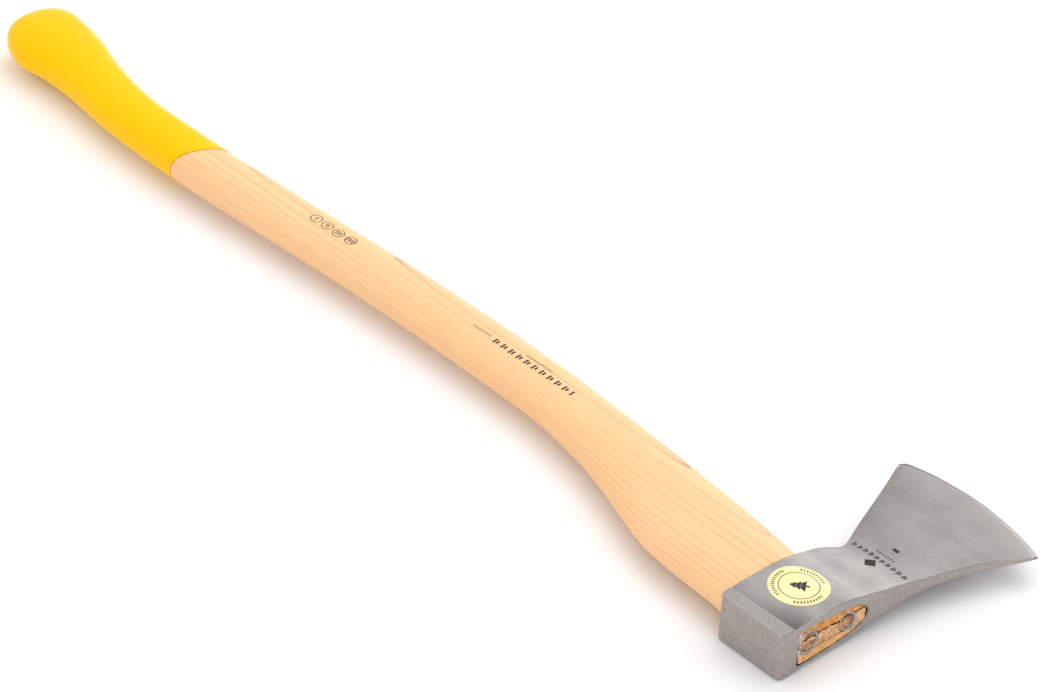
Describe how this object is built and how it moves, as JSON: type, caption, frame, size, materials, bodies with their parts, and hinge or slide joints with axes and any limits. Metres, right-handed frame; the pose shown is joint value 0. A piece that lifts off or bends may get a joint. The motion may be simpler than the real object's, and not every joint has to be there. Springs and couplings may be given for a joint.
{
  "type": "splitting maul",
  "caption": "Long-handled splitting maul: forged steel head with square poll and flared bit, curved wooden handle wedged into its eye, dip-coated grip end.",
  "frame": {"origin": "middle of the bounding box's base; the maul lies on its lower cheek", "axes": "+X from the poll to the cutting edge, +Y from the head along the handle to the grip end, +Z square to the cheeks, up"},
  "size_m": [0.2062, 0.8288, 0.0373],
  "materials": {
    "forged_steel": "satin, fine brushed, under clear lacquer",
    "handle_wood": "sanded pale ash, lightly oiled",
    "wedge_wood": "rough sawn end grain",
    "ring_steel": "dull steel",
    "dip_coating": "glossy yellow dip coat",
    "label_film": "printed film, satin"
  },
  "bodies": {
    "root": {"head": "forged_steel", "handle": "handle_wood", "eye_wedge": "wedge_wood", "ring_wedge_front": "ring_steel", "ring_wedge_rear": "ring_steel", "grip_coating": "dip_coating", "label": "label_film"}
  },
  "joints": []
}
